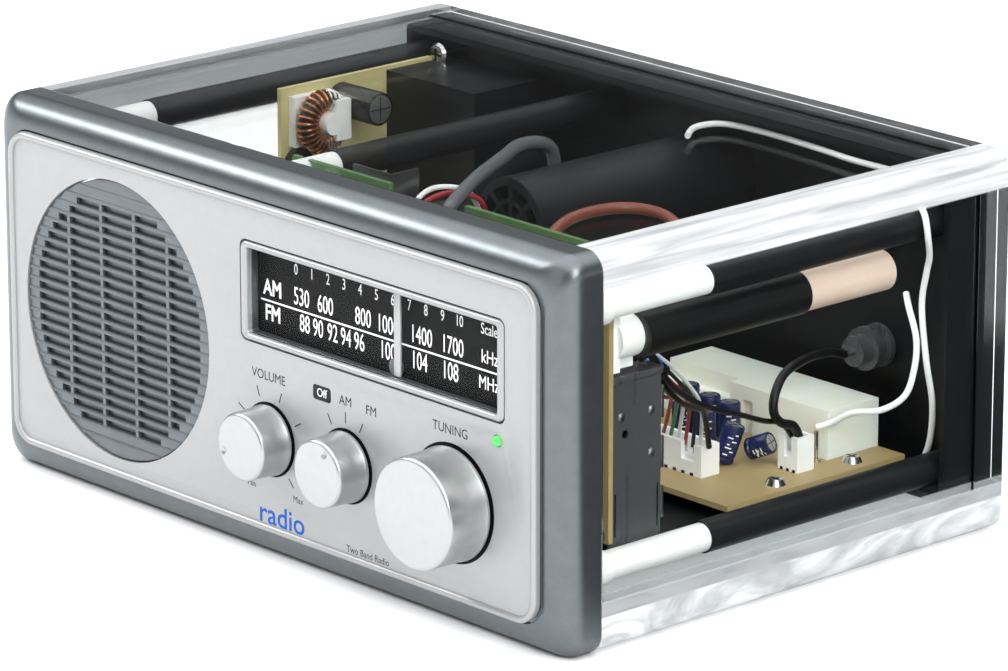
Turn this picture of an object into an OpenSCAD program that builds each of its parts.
// Two-band table radio in a clear case, as separate named pieces.
// Millimetres, +X to the viewer's right, -Y towards the viewer, +Z up.

/* [Case] */
// Overall width of the case
case_w = 240; // [180:1:320]
// Overall height of the case
case_h = 110; // [85:1:150]
// Depth from the front panel's face to the rear cover's back
case_d = 168; // [130:1:230]
// Thickness of the clear case's walls
wall = 10; // [5:0.5:12]
// Radius of the case's four long corners
corner_r = 6; // [3:0.5:12]
// Depth of the front bezel
bezel_d = 15; // [10:0.5:22]
// Thickness of the rear cover's cap
cap_d = 7; // [5:0.5:12]

/* [Front] */
// Margin between the case's edge and the front panel
panel_margin = 8.2; // [5:0.1:14]
// Radius of the speaker's grille
grille_r = 40.3; // [30:0.1:44]
// Pitch of the grille's slots
slot_pitch = 3.15; // [2:0.05:4]
// Inner width of the dial window
dial_w = 101; // [80:1:130]
// Inner height of the dial window
dial_h = 24; // [16:0.5:30]
// Width of the dial pointer
pointer_w = 2.6; // [1:0.1:5]

/* [Knobs] */
// Radius of the volume and band knobs
small_knob_r = 10; // [7:0.1:13]
// Height of the volume and band knobs off the panel
small_knob_h = 11; // [7:0.1:16]
// Radius of the tuning knob
tuning_knob_r = 15.8; // [11:0.1:20]
// Height of the tuning knob off the panel
tuning_knob_h = 14.6; // [9:0.1:20]
// Radius of every control's spindle
spindle_r = 3; // [2:0.1:4]
// Running clearance between a spindle and its bearing
running = 0.05; // [0.02:0.01:0.1]

/* [Inside] */
// Radius of the corner posts moulded on the rear cover
post_r = 4.5; // [3.5:0.1:6]
// Length of the ferrite aerial's black sleeve
sleeve_len = 60; // [40:1:80]
// Length of the ferrite aerial's paper tube
paper_len = 33; // [20:1:50]
// Height of the main board's top face
board_z = 20; // [18:0.5:26]
// Radius of the large round duct
duct_r = 13.8; // [10:0.1:18]

/* [Hidden] */
$fn = 48;

gap = 0.3;
mid_z = case_h / 2;
half_w = case_w / 2;
jack_reach = 7;
// the origin is under the middle of everything, knob face to jack
front_y = -(case_d + jack_reach - tuning_knob_h) / 2;

cap_y = case_d - cap_d;
cap_wall = 3;
// the cover's cap sits in a step cut round the clear case's back end
cap_step = 2;
cap_in_y = case_d - cap_wall;
skirt_t = 2;
skirt_len = 11;
in_half_w = half_w - wall;
in_bottom = wall;
in_top = case_h - wall;

panel_y = 0;
panel_back = 1.5;
bezel_front = 1.5;
bezel_wall = 2.5;
bezel_in = bezel_front + bezel_wall;
panel_w = case_w - 2 * (panel_margin + 1.3);
panel_h = case_h - 2 * panel_margin;

speaker_x = 57 - half_w;
speaker_z = mid_z - 0.5;
speaker_r = grille_r - 2.3;

dial_x = half_w - 75;
dial_z = case_h - 34;
dial_plate_y = 5;
frame_rim = 2.6;
pointer_low = dial_x - 35.6;
pointer_rest = pointer_low + 44.4;

knob_z = mid_z - 19.6;
volume_x = dial_x - 41.7;
band_x = dial_x - 9.7;
tuning_x = dial_x + 32.9;
led_x = dial_x + 50.7;
led_z = mid_z + 1.8;
knob_gap = 0.6;
spindle_tip = 2;

// the corner posts stand just inside the rear cover's skirt
post_in = gap + skirt_t + 0.2 + post_r;
post_x = in_half_w - post_in;
post_z = [in_bottom + post_in + 2, in_top - post_in - 2];
pin_r = 4;
left_joint = 45;
right_joint = 63;
mid_post = [half_w - 153, in_top - 12];
mid_joint = 55;
bore_r = 1.4;

tray_z = in_bottom + gap + skirt_t + 0.2;
tray_t = 2;
tray_top = tray_z + tray_t;
tray_y = 58;
tray_right = half_w - 27;
tray_left = post_r + 0.2 - post_x;
board_t = 1.6;
board_x = [half_w - 116, half_w - 28.5];
board_y = [case_d - 84, case_d - 14.5];
screw_x = board_x[1] - 5.5;
screw_y = [board_y[0] + 24, board_y[0] + 54];

can_x = [half_w - 60, post_x - pin_r - 0.5];
can_y = [34, 52];
can_z = [18.5, in_top - 32];
ferrite_x = half_w - 22;
ferrite_z = in_top - 21.5;
rod_r = 5;
sleeve_r = 6.2;
paper_r = 5.7;
ferrite_y = 43;

power_x = tray_left + board_t + 1.7;
power_y = [case_d - 80, case_d - 21];
power_top = in_top - 7.4;
choke_y = power_y[0] + 10.5;
choke_z = in_top - 17.5;
duct_x = half_w - 109;
duct_z = in_top - 25.5;
duct_y = case_d - 86;
jack_x = half_w - 50;
jack_z = mid_z - 10;
jack_r = 4.7;

// ---------- helpers ----------

// a rounded rectangle standing in X and Z
module rrect(w, h, r) {
  square([w - 2 * r, h], center = true);
  square([w, h - 2 * r], center = true);
  for (sx = [-1, 1], sz = [-1, 1])
    translate([sx * (w / 2 - r), sz * (h / 2 - r)]) circle(r = r);
}

// stands a flat outline up and thickens it from y0 back to y1
module upright(y0, y1, x = 0, z = 0) {
  translate([x, y1, z]) rotate([90, 0, 0]) linear_extrude(y1 - y0) children();
}

module ycyl(r, y0, y1, x = 0, z = 0) {
  translate([x, y1, z]) rotate([90, 0, 0]) cylinder(r = r, h = y1 - y0);
}

module xcyl(r, x0, x1, y = 0, z = 0) {
  translate([x0, y, z]) rotate([0, 90, 0]) cylinder(r = r, h = x1 - x0);
}

module box(x, y, z) {
  translate([x[0], y[0], z[0]]) cube([x[1] - x[0], y[1] - y[0], z[1] - z[0]]);
}

// moves a piece from the front panel's own zero to the shared origin
module placed() {
  translate([0, front_y, 0]) children();
}

// points round a rounded rectangle, each corner in n steps
function ring(w, h, r, y, n = 8) = [
  for (k = [0 : 3]) for (i = [0 : n])
    let (a = 90 * k + 90 * i / n,
         sx = (k == 0 || k == 3) ? 1 : -1,
         sz = (k < 2) ? 1 : -1)
    [sx * (w / 2 - r) + r * cos(a), y, mid_z + sz * (h / 2 - r) + r * sin(a)]
];

// closes a stack of equal rings into one solid
module stacked(rings) {
  m = len(rings[0]);
  n = len(rings);
  pts = [for (q = rings) for (p = q) p];
  sides = [for (i = [0 : n - 2]) for (j = [0 : m - 1])
    [i * m + j, i * m + (j + 1) % m, (i + 1) * m + (j + 1) % m, (i + 1) * m + j]];
  caps = [[for (j = [m - 1 : -1 : 0]) j], [for (j = [0 : m - 1]) (n - 1) * m + j]];
  polyhedron(points = pts, faces = concat(sides, caps), convexity = 4);
}

function unit(v) = v / norm(v);
// a smooth path: three points for each step between hand-chosen ones
function smooth(p, k = 2) = [
  for (i = [0 : len(p) - 2]) for (j = [0 : k - 1])
    let (t = j / k,
         a = p[max(i - 1, 0)], b = p[i], c = p[i + 1], d = p[min(i + 2, len(p) - 1)])
    0.5 * (2 * b + (c - a) * t + (2 * a - 5 * b + 4 * c - d) * t * t
           + (3 * b - a - 3 * c + d) * t * t * t),
  p[len(p) - 1]
];

// an eight-sided tube swept along a path
module cord(path, r, up = [0.13, 0.21, 0.97], k = 2) {
  p = smooth(path, k);
  n = len(p);
  m = 8;
  pts = [for (i = [0 : n - 1])
    let (t = unit(p[min(i + 1, n - 1)] - p[max(i - 1, 0)]),
         u = unit(cross(t, up)),
         v = cross(t, u))
    for (j = [0 : m - 1]) p[i] + r * (cos(360 * j / m) * u + sin(360 * j / m) * v)];
  sides = [for (i = [0 : n - 2]) for (j = [0 : m - 1]) for (h = [0, 1])
    h == 0 ? [i * m + j, (i + 1) * m + j, i * m + (j + 1) % m]
           : [(i + 1) * m + j, (i + 1) * m + (j + 1) % m, i * m + (j + 1) % m]];
  caps = [[for (j = [0 : m - 1]) j], [for (j = [m - 1 : -1 : 0]) (n - 1) * m + j]];
  polyhedron(points = pts, faces = concat(sides, caps), convexity = 8);
}

// ---------- front ----------

module front_bezel() {
  placed() color("#4d545b") difference() {
    union() {
      difference() {
        stacked(concat(
          [for (i = [0 : 9])
            let (a = 10 * i,
                 inset = panel_margin * (1 - sin(a)),
                 y = bezel_front + (bezel_d / 2) * (1 - cos(a)))
            ring(case_w - 2 * inset, case_h - 2 * inset,
                 corner_r + 2 * (1 - sin(a)), y)],
          [ring(case_w, case_h, corner_r, bezel_d)]));
        upright(bezel_in, bezel_d + 1, 0, mid_z)
          rrect(2 * in_half_w, in_top - in_bottom, 3);
      }
      // standoffs for the two boards behind the front
      for (x = [half_w - 136, half_w - 69]) ycyl(2.5, bezel_in - 0.5, 44, x, in_top - 44);
      for (x = [half_w - 54, half_w - 24]) ycyl(2.5, bezel_in - 0.5, 32, x, post_z[0] + 6);
    }
    ycyl(grille_r + gap, 0, bezel_in + 1, speaker_x, speaker_z);
    upright(0, bezel_in + 1, dial_x, dial_z) rrect(dial_w, dial_h, 1);
    for (x = [volume_x, band_x]) ycyl(spindle_r + 0.5, 0, bezel_in + 1, x, knob_z);
    ycyl(spindle_r + running, 0, bezel_in + 1, tuning_x, knob_z);
    ycyl(1.7, 0, bezel_in + 1, led_x, led_z);
  }
}

module front_panel() {
  placed() color("#c9cbcd") difference() {
    union() {
      upright(panel_y, panel_back, 0, mid_z) rrect(panel_w, panel_h, 8);
      upright(panel_y - 0.8, panel_y + 0.5, 0, mid_z) difference() {
        rrect(panel_w, panel_h, 8);
        rrect(panel_w - 4, panel_h - 4, 6);
      }
    }
    ycyl(grille_r + gap, -2, 3, speaker_x, speaker_z);
    upright(-2, 3, dial_x, dial_z)
      rrect(dial_w + 2 * frame_rim + 0.4, dial_h + 2 * frame_rim - 1, 2.2);
    for (x = [volume_x, band_x, tuning_x]) ycyl(spindle_r + 0.8, -2, 3, x, knob_z);
    ycyl(1.7, -2, 3, led_x, led_z);
  }
}

module speaker_grille() {
  rows = floor((speaker_r - 2) / slot_pitch);
  placed() color("#5b6166") union() {
    upright(0.5, 2.5, speaker_x, speaker_z) difference() {
      circle(r = grille_r, $fn = 72);
      intersection() {
        circle(r = grille_r - 3.2, $fn = 72);
        for (i = [-rows : rows], c = [-2 : 2])
          translate([c * 14.6, i * slot_pitch])
            square([13.4, slot_pitch * 0.54], center = true);
      }
    }
    upright(2.3, bezel_in, speaker_x, speaker_z) difference() {
      circle(r = grille_r, $fn = 72);
      circle(r = grille_r - 2, $fn = 72);
    }
  }
}

module window_frame() {
  placed() color("#b9bcbf") upright(-0.4, bezel_front, dial_x, dial_z) difference() {
    rrect(dial_w + 2 * frame_rim, dial_h + 2 * frame_rim - 1.4, 2);
    rrect(dial_w, dial_h, 1);
  }
}

module dial_window() {
  placed() color([0.8, 0.85, 0.9, 0.4]) upright(0.6, 1.6, dial_x, dial_z)
    rrect(dial_w, dial_h, 1);
}

module dial_plate() {
  placed() color("#141414") difference() {
    upright(bezel_in, dial_plate_y + 1, dial_x, dial_z) square([dial_w + 3, dial_h + 5], center = true);
    upright(bezel_in - 1, dial_plate_y, dial_x, dial_z) square([dial_w, dial_h + 1], center = true);
  }
}

module dial_pointer() {
  placed() color("#e8e8e8")
    box([pointer_rest - pointer_w / 2, pointer_rest + pointer_w / 2], [2.2, 3],
        [dial_z - dial_h / 2 + 0.4, dial_z + dial_h / 2 - 0.4]);
}

// a knob turned about its own axis, with a blind bore for the spindle
module knob(r, h, dimple) {
  rotate([90, 0, 0]) difference() {
    rotate_extrude($fn = 72) polygon([
      [0, knob_gap], [r, knob_gap], [r, knob_gap + 1.2], [r - 0.25, knob_gap + 1.5],
      [r - 0.45, h - 1.3], [r - 0.75, h - 0.7], [r - 1.3, h - 0.35],
      [r * 0.6, h - 0.1], [0, h]]);
    translate([0, 0, -1]) cylinder(r = spindle_r, h = h - spindle_tip + 1);
    if (dimple[2] > 0) translate([dimple[0], dimple[1], h + 0.5]) sphere(r = 1.1, $fn = 24);
  }
}

module volume_knob() {
  placed() color("#c4c5c7") translate([volume_x, 0, knob_z])
    knob(small_knob_r, small_knob_h, [-0.7 * small_knob_r, -0.24 * small_knob_r, 1]);
}

module band_knob() {
  placed() color("#c4c5c7") translate([band_x, 0, knob_z])
    knob(small_knob_r, small_knob_h, [0.33 * small_knob_r, 0.64 * small_knob_r, 1]);
}

module tuning_knob() {
  placed() color("#c4c5c7") translate([tuning_x, 0, knob_z])
    knob(tuning_knob_r, tuning_knob_h, [0, 0, 0]);
}

module volume_spindle() {
  placed() color("#9a9a9a") ycyl(spindle_r, spindle_tip - small_knob_h, 17, volume_x, knob_z);
}

module band_spindle() {
  placed() color("#9a9a9a") ycyl(spindle_r, spindle_tip - small_knob_h, 17, band_x, knob_z);
}

module tuning_spindle() {
  placed() color("#9a9a9a") ycyl(spindle_r, spindle_tip - tuning_knob_h, 31.4, tuning_x, knob_z);
}

module control_body(x, r) {
  difference() {
    ycyl(r, bezel_in, 18, x, knob_z);
    ycyl(spindle_r + running, bezel_in - 1, 17.2, x, knob_z);
  }
}

module volume_control() {
  placed() color("#8f9498") control_body(volume_x, 8);
}

module band_switch() {
  placed() color("#7f8488") control_body(band_x, 9);
}

module power_led() {
  placed() color("#35c94a") union() {
    ycyl(1.5, 0, bezel_in + 1.5, led_x, led_z);
    translate([led_x, 0, led_z]) sphere(r = 1.5, $fn = 24);
  }
}

// ---------- speaker ----------

module speaker_basket() {
  placed() color("#2c2d2f") translate([speaker_x, 0, speaker_z]) rotate([-90, 0, 0]) difference() {
    rotate_extrude() polygon([
      [speaker_r - 5, bezel_in], [speaker_r + 1, bezel_in], [speaker_r + 1, bezel_in + 2],
      [speaker_r - 4, bezel_in + 2], [17, 23], [13, 23], [13, 21.4], [16, 21.4],
      [speaker_r - 5.6, bezel_in + 2]]);
    for (a = [0 : 60 : 300]) rotate([0, 0, a + 30])
      translate([speaker_r - 13, 0, 15]) cylinder(r = 4.5, h = 30, center = true, $fn = 24);
  }
}

module speaker_cone() {
  placed() color("#1b1b1b") translate([speaker_x, 0, speaker_z]) rotate([-90, 0, 0])
    rotate_extrude() polygon([
      [0, 12], [6, 13.4], [8, 15], [speaker_r - 10, bezel_in + 1.2],
      [speaker_r - 8, bezel_in + 0.4], [speaker_r - 6, bezel_in + 1.2], [speaker_r - 6.4, bezel_in + 2],
      [speaker_r - 9.6, bezel_in + 2.2], [9, 16.6], [6, 14.8], [0, 13.2]]);
}

module speaker_magnet() {
  placed() color("#3b3d40") union() {
    ycyl(22, 23, 25.5, speaker_x, speaker_z);
    ycyl(21, 25.5, 34, speaker_x, speaker_z);
    ycyl(18, 34, 36, speaker_x, speaker_z);
  }
}

// ---------- case ----------

module inner_frame() {
  placed() color("#f2f2ee") difference() {
    union() {
      upright(bezel_in, bezel_in + 2, 0, mid_z) difference() {
        rrect(2 * in_half_w - 2 * gap, in_top - in_bottom - 2 * gap, 3);
        square([2 * in_half_w - 11, in_top - in_bottom - 11], center = true);
      }
      for (sx = [-1, 1], z = post_z) {
        ycyl(5, bezel_in, 26, sx * post_x, z);
        ycyl(pin_r, bezel_in, sx < 0 ? left_joint : right_joint, sx * post_x, z);
      }
      ycyl(pin_r, bezel_in, mid_joint, mid_post[0], mid_post[1]);
      box([mid_post[0] - 3, mid_post[0] + 3], [bezel_in, bezel_in + 2], [mid_post[1], in_top - 5]);
    }
    for (sx = [-1, 1], z = post_z)
      ycyl(bore_r, (sx < 0 ? left_joint : right_joint) - 10,
           (sx < 0 ? left_joint : right_joint) + 1, sx * post_x, z);
    ycyl(bore_r, mid_joint - 10, mid_joint + 1, mid_post[0], mid_post[1]);
    ycyl(speaker_r + 1 + gap, bezel_in - 1, bezel_in + 3, speaker_x, speaker_z);
  }
}

module clear_case() {
  placed() color([0.85, 0.9, 0.95, 0.35]) difference() {
    upright(bezel_d, case_d, 0, mid_z) rrect(case_w, case_h, corner_r);
    upright(bezel_d - 1, case_d + 1, 0, mid_z)
      rrect(2 * in_half_w, in_top - in_bottom, 1.5);
    upright(cap_y, case_d + 1, 0, mid_z)
      rrect(2 * (in_half_w + cap_step), in_top - in_bottom + 2 * cap_step, 2);
  }
}

module rear_cover() {
  sw = 2 * in_half_w - 2 * gap;
  sh = in_top - in_bottom - 2 * gap;
  placed() color("#1d1f22") difference() {
    union() {
      upright(cap_y, case_d, 0, mid_z) rrect(sw + 2 * cap_step, sh + 2 * cap_step, 2);
      upright(cap_y - skirt_len, cap_y + 1, 0, mid_z) rrect(sw, sh, 1.5);
    }
    upright(cap_y - skirt_len - 1, cap_in_y, 0, mid_z)
      square([sw - 2 * skirt_t, sh - 2 * skirt_t], center = true);
    for (sx = [-1, 1], z = post_z) ycyl(post_r - 0.8, cap_y, case_d + 1, sx * post_x, z);
    ycyl(post_r - 0.8, cap_y, case_d + 1, mid_post[0], mid_post[1]);
    ycyl(jack_r - 0.3, cap_y, case_d + 1, jack_x, jack_z);
  }
}

module one_rear_post(y, x, z) {
  difference() {
    ycyl(post_r, y, cap_in_y, x, z);
    ycyl(post_r - 0.8, y + 4, cap_in_y + 1, x, z);
    ycyl(bore_r, y - 1, y + 5, x, z);
  }
}

module rear_posts() {
  placed() color("#232528") union() {
    for (sx = [-1, 1], z = post_z)
      one_rear_post(sx < 0 ? left_joint : right_joint, sx * post_x, z);
    one_rear_post(mid_joint, mid_post[0], mid_post[1]);
  }
}

module one_screw(y, x, z) {
  ycyl(bore_r, y - 9, y + 4.1, x, z);
  difference() {
    ycyl(2.7, y + 4, y + 6.2, x, z);
    ycyl(0.9, y + 5, y + 7, x, z);
  }
}

module case_screws() {
  placed() color("#b8b9ba") union() {
    for (sx = [-1, 1], z = post_z)
      one_screw(sx < 0 ? left_joint : right_joint, sx * post_x, z);
    one_screw(mid_joint, mid_post[0], mid_post[1]);
  }
}

module chassis_tray() {
  placed() color("#17181a") difference() {
    union() {
      box([tray_left, tray_right], [tray_y, cap_in_y], [tray_z, tray_top]);
      for (x = [screw_x, board_x[0] + 8], y = [screw_y[0], screw_y[1]])
        translate([x, y, tray_top - 0.5]) cylinder(r = 3, h = board_z - board_t - tray_top + 0.5);
      // the upright ledge that the power board stands against
      box([tray_left, power_x - board_t], [power_y[0], cap_in_y], [tray_z, 40]);
    }
    for (y = screw_y)
      translate([screw_x, y, tray_top + 0.2]) cylinder(r = 1.1, h = 20);
  }
}

// ---------- main board ----------

module main_board() {
  placed() color("#c9ad6b") difference() {
    box(board_x, board_y, [board_z - board_t, board_z]);
    for (y = screw_y)
      translate([screw_x, y, board_z - 5]) cylinder(r = 1.1, h = 10);
  }
}

module board_screws() {
  placed() color("#a9aaa8") for (y = screw_y) translate([screw_x, y, 0]) {
    translate([0, 0, board_z - 4]) cylinder(r = 1.1, h = 4.2);
    difference() {
      translate([0, 0, board_z]) cylinder(r1 = 3, r2 = 2.2, h = 1.6);
      translate([-0.4, -1.8, board_z + 0.9]) cube([0.8, 3.6, 2]);
      translate([-1.8, -0.4, board_z + 0.9]) cube([3.6, 0.8, 2]);
    }
  }
}

// moves a piece to the main board's front left corner, on its top face
module on_board() {
  placed() translate([board_x[0], board_y[0], board_z]) children();
}

module wide_connector() {
  on_board() color("#f4f3ee") difference() {
    box([32, 65], [12, 19], [0, 9]);
    box([33, 64], [13.4, 17.6], [5, 10]);
    box([57, 62], [11, 13.6], [4, 10]);
  }
}

module small_connector() {
  on_board() color("#f4f3ee") difference() {
    box([72.2, 79.8], [34.6, 41.2], [0, 10]);
    box([73.2, 78.8], [35.8, 40], [5, 11]);
    box([74.6, 77.4], [34, 36], [4, 11]);
  }
}

module board_capacitors() {
  on_board() color("#1b2244") union() {
    for (p = [[29, 42, 13], [38, 41.5, 12], [45.5, 42, 11.5], [36, 33, 11], [46, 32, 11]])
      translate([p[0], p[1], 0]) cylinder(r = 3.15, h = p[2], $fn = 32);
    translate([59, 26, 0.9]) rotate([-14, 12, 0]) cylinder(r = 3.15, h = 11, $fn = 32);
    translate([62, 33.6, 3.2]) rotate([0, 66, 20]) cylinder(r = 3.15, h = 7.4, $fn = 32);
  }
}

module coil_block() {
  on_board() color("#e9e9e2") difference() {
    box([10, 77], [49.5, 69.5], [0, 14.2]);
    box([9, 38], [48, 53], [9, 15]);
    box([43, 47], [48, 51], [-1, 10]);
  }
}

module aerial_pin() {
  on_board() color("#c8c4b4") translate([75.5, 46.4, 0]) {
    cylinder(r = 0.6, h = 9, $fn = 16);
    cylinder(r = 1.4, h = 0.8, $fn = 16);
  }
}

// ---------- tuner ----------

module tuner_board() {
  placed() color("#b99a52") difference() {
    box([can_x[0], half_w - 20.5], [32, 33.6], [post_z[0] + pin_r, post_z[1] - pin_r - 1]);
    ycyl(spindle_r + 1, 31, 35, tuning_x, knob_z);
  }
}

module tuning_can() {
  placed() color("#8a8c8e") difference() {
    box(can_x, [33.6, can_y[1]], can_z);
    box([can_x[0] + 0.8, can_x[1] - 0.8], [33, can_y[1] - 0.8], [can_z[0] + 0.8, can_z[1] - 0.8]);
    xcyl(1.2, can_x[1] - 2, can_x[1] + 1, 39, can_z[1] - 16);
  }
}

module blue_trimmer() {
  placed() color("#2a6fb4") union() {
    ycyl(3.6, can_y[1], can_y[1] + 9, can_x[1] - 12, can_z[1] - 4.5);
    ycyl(1.8, can_y[1] + 9, can_y[1] + 10, can_x[1] - 12, can_z[1] - 4.5);
  }
}

module control_board() {
  placed() color("#3f7d47") difference() {
    union() {
      box([half_w - 158, can_x[0] - 4], [44, 45.6], [in_top - 52, in_top - 16]);
      box([half_w - 158, half_w - 117], [44, 45.6], [in_top - 20, in_top - 8]);
      box([half_w - 86, half_w - 38], [44, 45.6], [can_z[1] + 4, in_top - 8]);
    }
    ycyl(pin_r + gap, 43, 47, mid_post[0], mid_post[1]);
  }
}

module board_bracket() {
  placed() color("#9fa3a6") union() {
    box([half_w - 134, half_w - 118], [45.6, 46.6], [in_top - 22, in_top - 6]);
    box([half_w - 119, half_w - 118], [45.6, 56], [in_top - 22, in_top - 6]);
    ycyl(3.4, 46.6, 50, half_w - 126, in_top - 13);
  }
}

module ferrite_holder() {
  placed() color("#f0f0ec") union() {
    box([ferrite_x - 10, ferrite_x + 1.5], [33.6, 36], [ferrite_z - 8.5, ferrite_z + 7.5]);
    ycyl(5.9, 35, ferrite_y, ferrite_x - 2.2, ferrite_z);
    box([ferrite_x - 10, ferrite_x - 1], [36, ferrite_y], [ferrite_z - 8.5, ferrite_z - 2.5]);
  }
}

module ferrite_sleeve() {
  placed() color("#121212") difference() {
    ycyl(sleeve_r, ferrite_y, ferrite_y + sleeve_len, ferrite_x, ferrite_z);
    ycyl(rod_r, ferrite_y - 1, ferrite_y + sleeve_len + 1, ferrite_x, ferrite_z);
  }
}

module paper_tube() {
  placed() color("#d6b9a2") difference() {
    ycyl(paper_r, ferrite_y + sleeve_len, ferrite_y + sleeve_len + paper_len, ferrite_x, ferrite_z);
    ycyl(rod_r, ferrite_y + sleeve_len - 1, ferrite_y + sleeve_len + paper_len + 1, ferrite_x, ferrite_z);
  }
}

module ferrite_rod() {
  placed() color("#3a3634")
    ycyl(rod_r, ferrite_y, ferrite_y + sleeve_len + paper_len - 1, ferrite_x, ferrite_z);
}

// ---------- power ----------

module power_board() {
  placed() color("#c8bd86") union() {
    box([power_x - board_t, power_x], power_y, [tray_top, power_top]);
    box([power_x - board_t, power_x], [power_y[1] - 1, power_y[1] + 6], [power_top - 5, power_top - 1.5]);
  }
}

module choke_former() {
  placed() color("#f1f0ea") union() {
    box([power_x, power_x + 3], [choke_y - 7.5, choke_y + 7.5], [choke_z - 7.5, choke_z + 7.5]);
    xcyl(3.2, power_x + 3, power_x + 12, choke_y, choke_z);
    difference() {
      box([power_x + 3, power_x + 11], [choke_y + 1.5, choke_y + 7.1], [choke_z - 5.5, choke_z + 6.5]);
      xcyl(3, power_x + 2, power_x + 12, choke_y, choke_z);
    }
  }
}

module choke_winding() {
  placed() color("#b4713f") translate([power_x + 3, choke_y, choke_z]) rotate([0, 90, 0])
    difference() {
      rotate_extrude($fn = 40) translate([6.4, 4]) circle(r = 3, $fn = 24);
      translate([-20, 1.2, -1]) cube([40, 20, 12]);
    }
}

module filter_capacitor() {
  placed() color("#202226") xcyl(5, power_x, power_x + 18, choke_y + 12.5, choke_z + 3.5);
}

module disc_suppressor() {
  placed() color("#1c1c1d") xcyl(4.5, power_x, power_x + 2.6, choke_y - 5, choke_z - 12.7);
}

module transformer_box() {
  placed() color("#1a1b1d") box([power_x, power_x + 39], [case_d - 39, case_d - 14], [tray_top, in_top - 8.5]);
}

module round_duct() {
  placed() color("#1b1c1e") difference() {
    ycyl(duct_r, duct_y, cap_in_y, duct_x, duct_z);
    ycyl(duct_r - 1.6, duct_y + 2, cap_in_y + 1, duct_x, duct_z);
    upright(duct_y - 1, duct_y + 3, duct_x, duct_z) difference() {
      circle(r = duct_r - 2.6);
      for (a = [0 : 45 : 135]) rotate(a) square([2 * duct_r, 1.6], center = true);
      difference() {
        circle(r = duct_r * 0.55);
        circle(r = duct_r * 0.55 - 1.4);
      }
    }
  }
}

// ---------- rear ----------

module aerial_jack() {
  placed() color("#b9bbbd") union() {
    ycyl(jack_r, case_d, case_d + jack_reach, jack_x, jack_z);
    ycyl(jack_r - 0.3, cap_y - 7, case_d + 0.5, jack_x, jack_z);
    ycyl(6.3, cap_in_y - 1.6, cap_in_y, jack_x, jack_z);
    ycyl(6.3, cap_y - 3, cap_y - 1, jack_x, jack_z);
    ycyl(1.2, cap_y - 10, cap_y - 7, jack_x, jack_z);
  }
}

module cover_screw() {
  placed() color("#b8b9ba") difference() {
    union() {
      ycyl(3.2, cap_in_y - 9, cap_in_y - 7, power_x, in_top - 15);
      ycyl(1.5, cap_in_y - 8, cap_in_y, power_x, in_top - 15);
    }
    box([power_x - 2, power_x + 2], [cap_in_y - 10, cap_in_y - 8], [in_top - 15.4, in_top - 14.6]);
  }
}

// ---------- wires ----------

module aerial_wire() {
  placed() color("#f2f2ee") cord([
    [24, 138, 93], [20, 145, 93.5], [24, 152, 94], [38, 154, 94], [58, 153, 94],
    [76, 151, 94], [90, 151, 94], [97, 148, 95], [103, 144, 97.4], [108, 142, 95],
    [108.6, 143, 88], [106.4, 146, 82], [104.5, 147, 77], [102.5, 147.5, 67],
    [104.5, 147.5, 52], [103, 152, 38], [99.6, 155, 26], [95, 157, 18]], 0.9, [0.37, 0.89, 0.27]);
}

module aerial_branch() {
  placed() color("#f2f2ee") cord([
    [79.5, 130.4, 30], [83, 133.4, 31.8], [89, 135, 35.5], [97, 138, 37.5], [102, 142, 42],
    [103.5, 144, 50], [103, 145, 58], [99, 146, 66], [96, 148, 69]], 0.9, [0.37, 0.89, 0.27]);
}

module jack_lead() {
  placed() color("#101010") cord([
    [70, 150.6, 45], [72, 144, 47.4], [75, 136, 49.2], [78, 126, 50], [80, 117, 48.5],
    [81.4, 112, 44], [82, 111, 39], [82, 114, 35.4], [81.8, 119, 33.4], [81.2, 122, 29]], 1.3, [0.97, 0.1, 0.2]);
}

module ferrite_leads() {
  placed() color("#101010") union() {
    cord([[98, 45, 71.4], [95, 52, 70.4], [93, 60, 61], [90, 69, 54.5], [87, 81, 48],
          [84, 96, 42], [81, 108, 37], [79, 117, 34], [78.6, 121.8, 29]], 0.8, [0.97, 0.1, 0.2]);
    cord([[96, 44.6, 71.2], [93.4, 52, 71], [90.6, 59.6, 61], [87, 70, 52], [82, 80, 47],
          [76, 90, 42], [70, 98, 29]], 0.8, [0.97, 0.1, 0.2]);
  }
}

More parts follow.
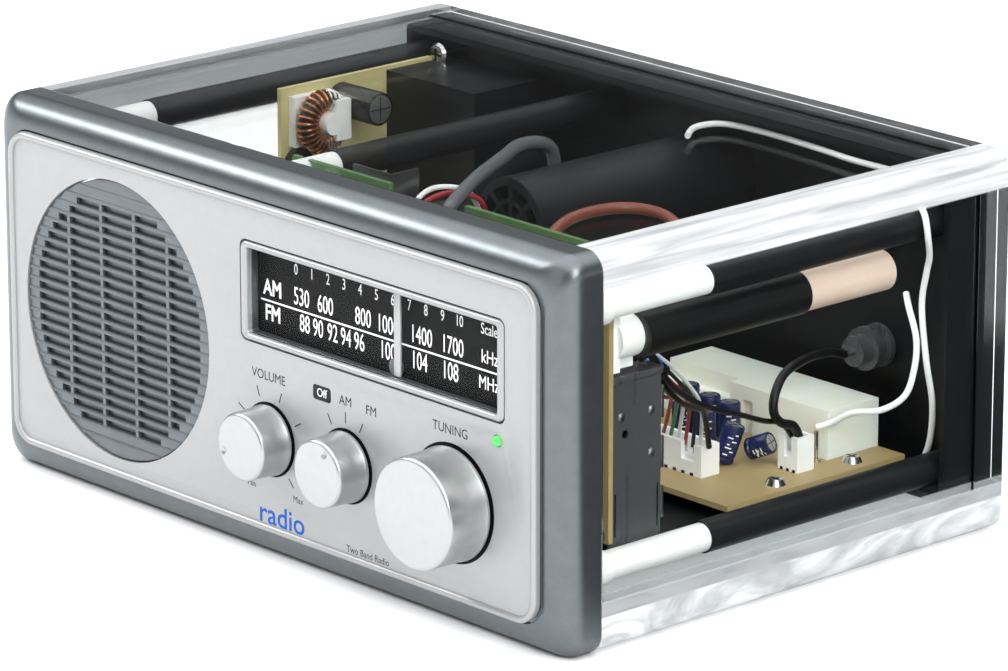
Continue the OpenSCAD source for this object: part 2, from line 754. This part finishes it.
module harness_wires() {
  ends = [65, 62, 59, 56, 53, 50];
  placed() color("#b02a2a") for (i = [0 : 5])
    cord([[85 - 1.6 * i, 63.4, 66 - 1.4 * i], [84 - 1.7 * i, 70, 61 - 1.4 * i],
          [80 - 2 * i, 81, 52 - i], [73 - 2.4 * i, 92, 42], [ends[i], 99.5, 27]],
         0.55, [0.97, 0.1, 0.2], 1);
}

module grey_cable() {
  placed() color("#8e9092") cord([
    [20, 47.8, 84], [17, 56, 88], [11, 70, 91], [3, 87, 92], [-3, 98, 92], [-4.4, 107, 91],
    [-6, 113.6, 87], [-7, 116, 77]], 1.9, [0.8, -0.1, 0.57]);
}

module twisted_leads() {
  placed() color("#c9c2bd") union() {
    cord([[8, 46, 84], [6, 54, 88], [6, 61, 88.6], [10, 67, 87], [8, 73, 80]], 0.75, [0.9, 0.1, 0.4]);
    cord([[10, 46, 83], [8.4, 53, 86.4], [8.6, 62, 87.2], [12, 69, 85], [10.6, 73.4, 79]], 0.75, [0.9, 0.1, 0.4]);
  }
}

module brown_lead() {
  placed() color("#8a4a33") cord([
    [60, 47, 84], [56, 60, 88.5], [55, 72, 89.5], [59, 82, 89.5], [68, 86.5, 88.5],
    [76, 86, 85], [80, 88, 76]], 1.6, [0.1, 0.1, 0.99]);
}

front_bezel();
front_panel();
speaker_grille();
window_frame();
dial_window();
dial_plate();
dial_pointer();
volume_knob();
band_knob();
tuning_knob();
volume_spindle();
band_spindle();
tuning_spindle();
volume_control();
band_switch();
power_led();
speaker_basket();
speaker_cone();
speaker_magnet();
inner_frame();
clear_case();
rear_cover();
rear_posts();
case_screws();
chassis_tray();
main_board();
board_screws();
wide_connector();
small_connector();
board_capacitors();
coil_block();
aerial_pin();
tuner_board();
tuning_can();
blue_trimmer();
control_board();
board_bracket();
ferrite_holder();
ferrite_sleeve();
paper_tube();
ferrite_rod();
power_board();
choke_former();
choke_winding();
filter_capacitor();
disc_suppressor();
transformer_box();
round_duct();
aerial_jack();
cover_screw();
aerial_wire();
aerial_branch();
jack_lead();
ferrite_leads();
harness_wires();
grey_cable();
twisted_leads();
brown_lead();
